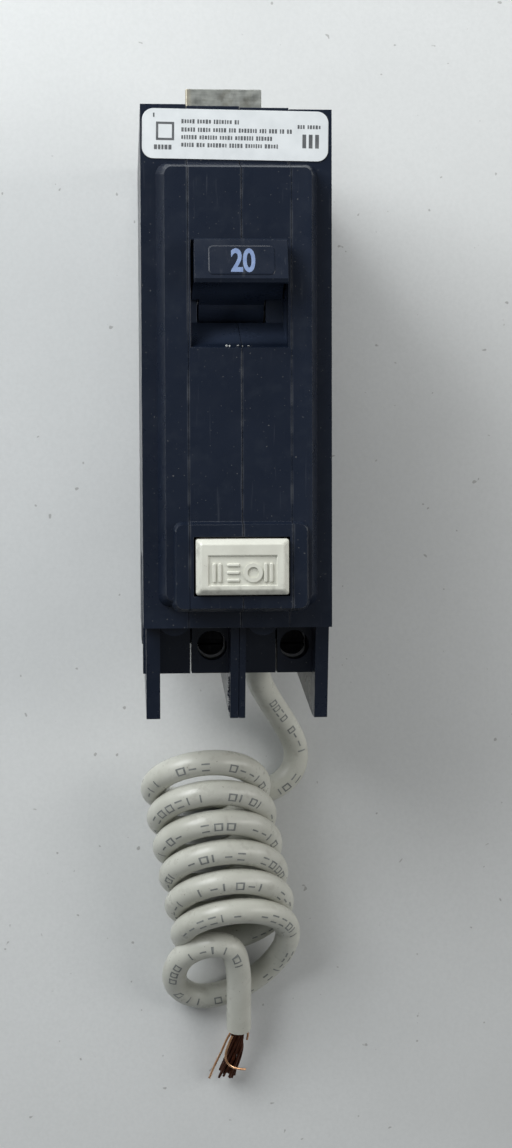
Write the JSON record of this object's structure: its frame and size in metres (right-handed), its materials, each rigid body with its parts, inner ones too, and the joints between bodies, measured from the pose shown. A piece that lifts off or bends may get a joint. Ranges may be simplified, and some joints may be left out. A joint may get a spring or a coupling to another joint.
{
  "type": "ground-fault circuit breaker",
  "caption": "Narrow bolt-on ground-fault breaker with toggle handle, push-to-test button, barrier legs at the load end and a coiled neutral pigtail.",
  "frame": {"origin": "middle of the case and its line terminal, on the plane that the back rests on", "axes": "+X to the right, +Y from the load end to the line end, +Z out of the handle face"},
  "size_m": [0.0278, 0.1578, 0.0634],
  "materials": {
    "case": "moulded thermoset, satin navy black",
    "handle": "moulded, satin navy black",
    "button": "moulded, off-white",
    "label": "printed coated sticker",
    "steel": "zinc plated",
    "terminal_metal": "dull tin plated copper",
    "screw_steel": "zinc plated, dull",
    "lug_aluminium": "tin plated",
    "contact_metal": "silver alloy",
    "copper": "copper",
    "fibre": "vulcanised fibre",
    "wire_insulation": "extruded, off-white satin",
    "toroid_tape": "wound and taped",
    "board": "circuit board laminate",
    "component_black": "moulded epoxy",
    "component_blue": "dipped coating",
    "component_tan": "lacquered"
  },
  "bodies": {
    "case": {"left_cover": "case", "left_housing": "case", "right_housing": "case", "right_cover": "case", "rating_label": "label", "case_rivets": "steel", "handle_pin": "steel", "cradle_pin": "steel", "armature_pin": "steel", "magnet_yoke": "steel", "arc_chute_plates": "steel", "solenoid_frame": "steel", "test_button_spring": "steel", "line_terminal": "terminal_metal", "power_lug": "lug_aluminium", "neutral_lug": "lug_aluminium", "fixed_contact": "contact_metal", "load_strap": "copper", "hot_link": "copper", "neutral_strap": "copper", "neutral_splice": "copper", "copper_strands": "copper", "flexible_braid": "copper", "bimetal": "copper", "test_contact_blade": "copper", "test_contact_post": "copper", "trip_solenoid_coil": "copper", "arc_chute_sides": "fibre", "button_spring_seat": "fibre", "pigtail_lead": "wire_insulation", "pigtail_coil": "wire_insulation", "pigtail_tail": "wire_insulation", "inner_neutral_lead": "wire_insulation", "neutral_link": "wire_insulation", "sense_transformer": "toroid_tape", "grounded_neutral_transformer": "toroid_tape", "circuit_board": "board", "ground_fault_chip": "component_black", "trip_thyristor": "component_black", "filter_capacitor": "component_black", "surge_varistor": "component_blue", "board_resistors": "component_tan"},
    "handle": {"handle": "handle", "arm_pin": "steel"},
    "contact_arm": {"contact_arm": "copper", "moving_contact": "contact_metal"},
    "cradle": {"cradle": "steel", "operating_spring": "steel"},
    "armature": {"armature": "steel"},
    "solenoid_plunger": {"solenoid_plunger": "steel"},
    "test_button": {"test_button": "button"},
    "power_screw": {"power_screw": "screw_steel"},
    "neutral_screw": {"neutral_screw": "screw_steel"}
  },
  "joints": [
    {"name": "handle_swing", "type": "hinge", "parent": "case", "child": "handle", "pos_m": [0, 0.0117, 0.0465], "axis": [1, 0, 0], "range_deg": [0, 34]},
    {"name": "contact_arm_swing", "type": "hinge", "parent": "handle", "child": "contact_arm", "pos_m": [0, 0.01015, 0.04143], "axis": [1, 0, 0], "range_deg": [-74, 0]},
    {"name": "cradle_trip", "type": "hinge", "parent": "case", "child": "cradle", "pos_m": [0.0048, 0.0245, 0.044], "axis": [1, 0, 0], "range_deg": [0, 8]},
    {"name": "plunger_slide", "type": "slide", "parent": "case", "child": "solenoid_plunger", "axis": [0, -1, 0], "range_m": [0, 0.00125]},
    {"name": "armature_tilt", "type": "hinge", "parent": "case", "child": "armature", "pos_m": [0, -0.0042, 0.015], "axis": [1, 0, 0], "range_deg": [0, 3]},
    {"name": "test_button_press", "type": "slide", "parent": "case", "child": "test_button", "axis": [0, 0, -1], "range_m": [0, 0.0014], "stiffness_N_per_m": 400, "deforming": ["test_button_spring"]},
    {"name": "power_screw_turn", "type": "hinge", "parent": "case", "child": "power_screw", "pos_m": [-0.00305, -0.0358, 0.041], "axis": [0, 0, 1], "continuous": true},
    {"name": "neutral_screw_turn", "type": "hinge", "parent": "case", "child": "neutral_screw", "pos_m": [0.0085, -0.0358, 0.041], "axis": [0, 0, 1], "continuous": true}
  ],
  "couplings": [
    {"joint": "contact_arm_swing", "follows": "handle_swing", "ratio": -2.17},
    {"joint": "armature_tilt", "follows": "plunger_slide", "rad_per_m": 41.846}
  ]
}
